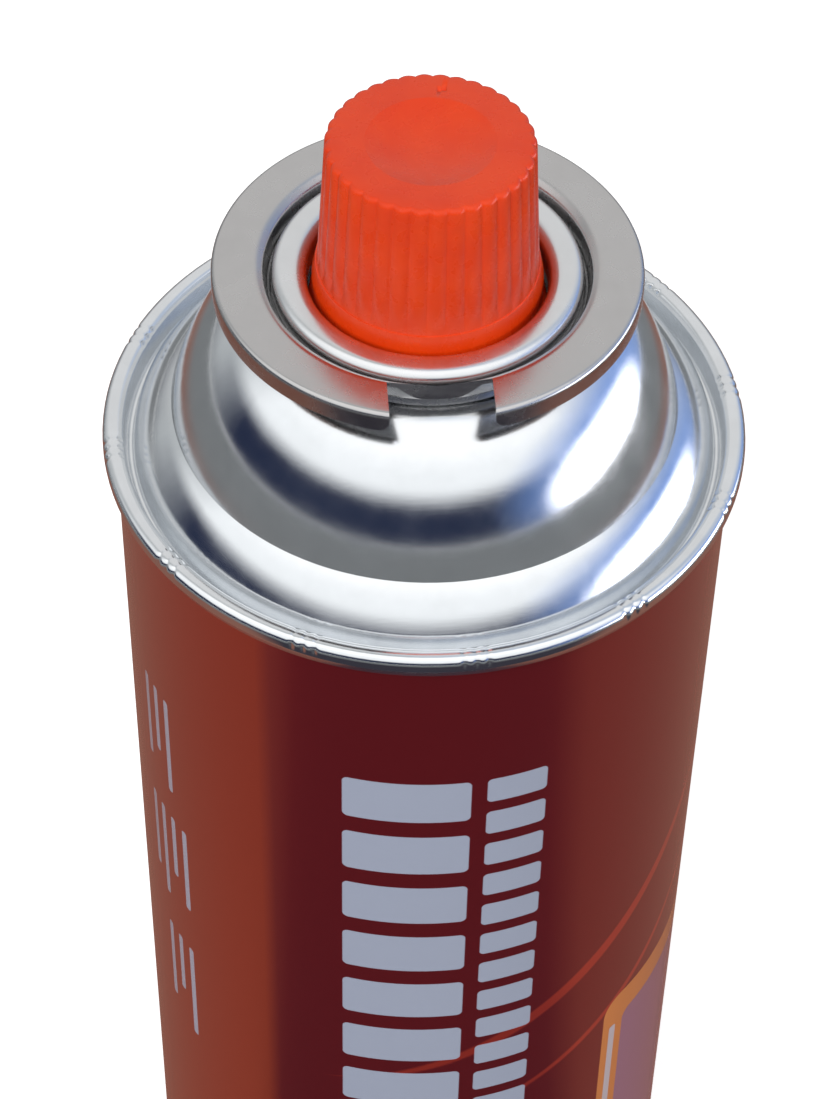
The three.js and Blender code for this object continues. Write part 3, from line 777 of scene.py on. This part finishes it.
def press_pit(piece):
    """Sinks the small pit that the mould's ejector leaves in the cap's top."""
    pit = Vector((PIT_RADIUS * math.cos(PIT_BEARING), PIT_RADIUS * math.sin(PIT_BEARING)))
    for vertex in piece.data.vertices:
        away = vertex.co.xy / MM - pit
        in_pit = abs(away.x) < PIT_HALF_LENGTH and abs(away.y) < PIT_HALF_WIDTH
        if in_pit and vertex.co.z / MM > cap_top - 0.1:
            vertex.co.z -= PIT_DEPTH * MM


press_pit(cap)
press_flutes(cap)
cap_red, tree, shader = finish("cap_plastic_finish", (0.80, 0.042, 0.003), 0.3, IOR=1.46,
                               Subsurface_Weight=0.06, Subsurface_Scale=0.0012)
shader.inputs["Subsurface Radius"].default_value = (1.0, 0.25, 0.1)
cloud = ramp(tree, noise(tree, 4.0, detail=4.0), 0.3, 0.7)
clouded = mix(tree, cloud, (0.74, 0.042, 0.002), (0.80, 0.055, 0.003))
tree.links.new(clouded, shader.inputs["Base Color"])
tree.links.new(ramp(tree, noise(tree, 1.5), 0.3, 0.7, 0.24, 0.34), shader.inputs["Roughness"])
bump(tree, shader, noise(tree, 0.18, detail=2.0), 0.005)
dress(cap, "cap", "cap_plastic", cap_red, "cap")


# Studio: a white painted floor that keeps the can's shadow, a white surround and two soft lamps.
# A tent and a dark mat, which only the gloss sees, stand for the room round the can.
FLOOR_GLOW = 0.64
FILL = 0.34
FLOOR_SIZE = 8.0
TENT_RADIUS = 1.6
TENT_EYE_HEIGHT = 0.17
MAT_RADIUS = 1.4
MAT_LIFT = 0.0005


def seen_directly(tree):
    """One for what the camera sees, straight, in gloss or through the clear charge, else nought."""
    rays = node(tree, "ShaderNodeLightPath").outputs
    mirrored = maths(tree, "MAXIMUM", rays["Is Glossy Ray"], rays["Is Transmission Ray"])
    return maths(tree, "MAXIMUM", rays["Is Camera Ray"], mirrored)


floor_paint, tree, shader = finish("studio_floor", (0.86, 0.86, 0.86), 0.9)
shader.inputs["Specular IOR Level"].default_value = 0.0
shader.inputs["Emission Color"].default_value = (1, 1, 1, 1)
floor_glow = maths(tree, "MULTIPLY", seen_directly(tree), FLOOR_GLOW)
tree.links.new(floor_glow, shader.inputs["Emission Strength"])
bpy.ops.object.select_all(action="DESELECT")
bpy.ops.mesh.primitive_plane_add(size=FLOOR_SIZE)
floor = bpy.context.object
floor.name = "studio_floor"
floor.data.materials.append(floor_paint)


def gloss_only(card, material):
    """A mat or tent round the can that only its gloss sees."""
    card.data.materials.append(material)
    for sense in ("camera", "diffuse", "shadow", "transmission", "volume_scatter"):
        setattr(card, "visible_" + sense, False)


def glowing(name):
    """A material that only glows. Returns it, its tree and the socket for its colour."""
    made = bpy.data.materials.new(name)
    made.use_nodes = True
    tree = made.node_tree
    tree.nodes.remove(tree.nodes["Principled BSDF"])
    glow = node(tree, "ShaderNodeEmission")
    tree.links.new(glow.outputs["Emission"], tree.nodes["Material Output"].inputs["Surface"])
    return made, tree, glow.inputs["Color"]


def bearings(tree, height):
    """Where a spot lies: its bearing from the notch's side and its elevation, in degrees."""
    spot = on_piece(tree)
    outwards = length(tree, spot["X"], spot["Y"])
    lift = maths(tree, "ARCTAN2", maths(tree, "SUBTRACT", spot["Z"], height), outwards)
    return maths(tree, "DEGREES", bearing_from_notch(tree, spot)), maths(tree, "DEGREES", lift)


def soft_patch(tree, across, up, middle, half_width, level, half_height, blur):
    """A soft oval patch of the tent, by its middle and half sizes in degrees."""
    side = maths(tree, "DIVIDE", maths(tree, "SUBTRACT", across, middle), half_width)
    rise = maths(tree, "DIVIDE", maths(tree, "SUBTRACT", up, level), half_height)
    return ramp(tree, length(tree, side, rise), 1.0 + blur, 1.0 - blur)


# The tent, from the horizon's navy band up to white, its left, right and back greyer, with a
# bright window and its blue surround at the right.
tent_glow, tree, colour_in = glowing("studio_tent")
across, up = bearings(tree, TENT_EYE_HEIGHT)
sky = mix(tree, ramp(tree, up, 12.0, 24.0), (0.018, 0.026, 0.062), (1.12, 1.14, 1.15))
sky = mix(tree, ramp(tree, up, 36.0, 56.0), sky, (1.3, 1.3, 1.3))
left_side = mix(tree, ramp(tree, up, -20.0, 2.0), (0.02, 0.025, 0.04), (0.5, 0.52, 0.53))
sky = mix(tree, ramp(tree, across, -95.0, -125.0), sky, left_side)
right_side = mix(tree, ramp(tree, up, -18.0, 12.0), (0.12, 0.17, 0.28), (0.55, 0.62, 0.74))
sky = mix(tree, ramp(tree, across, 75.0, 110.0), sky, right_side)
back = mix(tree, ramp(tree, up, -10.0, 20.0), (0.12, 0.13, 0.15), (0.80, 0.80, 0.80))
behind = ramp(tree, maths(tree, "ABSOLUTE", across), 125.0, 150.0)
sky = mix(tree, maths(tree, "MULTIPLY", behind, ramp(tree, up, 80.0, 62.0)), sky, back)
surround = soft_patch(
    tree, across, up, middle=86.0, half_width=44.0, level=4.0, half_height=28.0, blur=0.4)
sky = mix(tree, surround, sky, (0.20, 0.36, 0.80))
window = soft_patch(
    tree, across, up, middle=82.0, half_width=28.0, level=0.0, half_height=15.0, blur=0.3)
tree.links.new(mix(tree, window, sky, (4.5, 4.5, 4.7)), colour_in)
bpy.ops.object.select_all(action="DESELECT")
bpy.ops.mesh.primitive_uv_sphere_add(segments=48, ring_count=24, radius=TENT_RADIUS)
tent = bpy.context.object
tent.name = "studio_tent"
gloss_only(tent, tent_glow)

# The mat, nearly black in front of the can, brown at its sides and grey farther out.
mat_glow, tree, colour_in = glowing("dark_mat")
across, up = bearings(tree, 0.0)
at_sides = maths(tree, "MAXIMUM", ramp(tree, across, -50.0, -60.0), ramp(tree, across, 46.0, 60.0))
near = mix(tree, at_sides, (0.045, 0.042, 0.055), (0.26, 0.12, 0.09))
spot = on_piece(tree)
far_out = ramp(tree, length(tree, spot["X"], spot["Y"]), 0.28, 0.42)
tree.links.new(mix(tree, far_out, near, (0.21, 0.22, 0.225)), colour_in)
bpy.ops.object.select_all(action="DESELECT")
bpy.ops.mesh.primitive_circle_add(
    vertices=96, radius=MAT_RADIUS, fill_type="NGON", location=(0, 0, MAT_LIFT))
mat = bpy.context.object
mat.name = "dark_mat"
bpy.ops.object.transform_apply(location=True)
gloss_only(mat, mat_glow)

world = bpy.data.worlds.new("studio")
bpy.context.scene.world = world
world.use_nodes = True
tree = world.node_tree
background = tree.nodes["Background"]
background.inputs["Color"].default_value = (1, 1, 1, 1)
shown = maths(tree, "MULTIPLY", seen_directly(tree), 1 - FILL)
tree.links.new(maths(tree, "ADD", shown, FILL), background.inputs["Strength"])


def soft_lamp(name, size, watts, location, aim=(0, 0, 0.15)):
    """A square soft lamp that points at a spot and doesn't show in the gloss."""
    bpy.ops.object.light_add(type="AREA", location=location)
    lamp = bpy.context.object
    lamp.name = name
    lamp.data.size = size
    lamp.data.energy = watts
    lamp.visible_glossy = False
    lamp.rotation_euler = (Vector(location) - Vector(aim)).to_track_quat("Z", "Y").to_euler()


soft_lamp("key_lamp", size=0.4, watts=5.2, location=(-0.3, -0.55, 0.8))
soft_lamp("side_lamp", size=0.35, watts=1.2, location=(0.55, -0.15, 0.55))


# Camera: above and a little left of the can's front, as the photograph was taken. It looks down
# by its tilt from the upright, and is turned and rolled a little.
CAMERA_PLACE = (-0.0204, -0.2409, 0.40905)
CAMERA_TURN = math.radians(-4.6)
CAMERA_TILT = math.radians(41.8)
CAMERA_ROLL = math.radians(1.19)
bpy.ops.object.camera_add(location=CAMERA_PLACE)
camera = bpy.context.object
camera.rotation_euler = (
    Matrix.Rotation(CAMERA_TURN, 3, "Z") @ Matrix.Rotation(CAMERA_TILT, 3, "X")
    @ Matrix.Rotation(CAMERA_ROLL, 3, "Z")).to_euler()
camera.data.lens = 106.8
camera.data.sensor_width = 36
camera.data.clip_start = 0.01
bpy.context.scene.camera = camera
bpy.context.scene.view_settings.view_transform = "Standard"
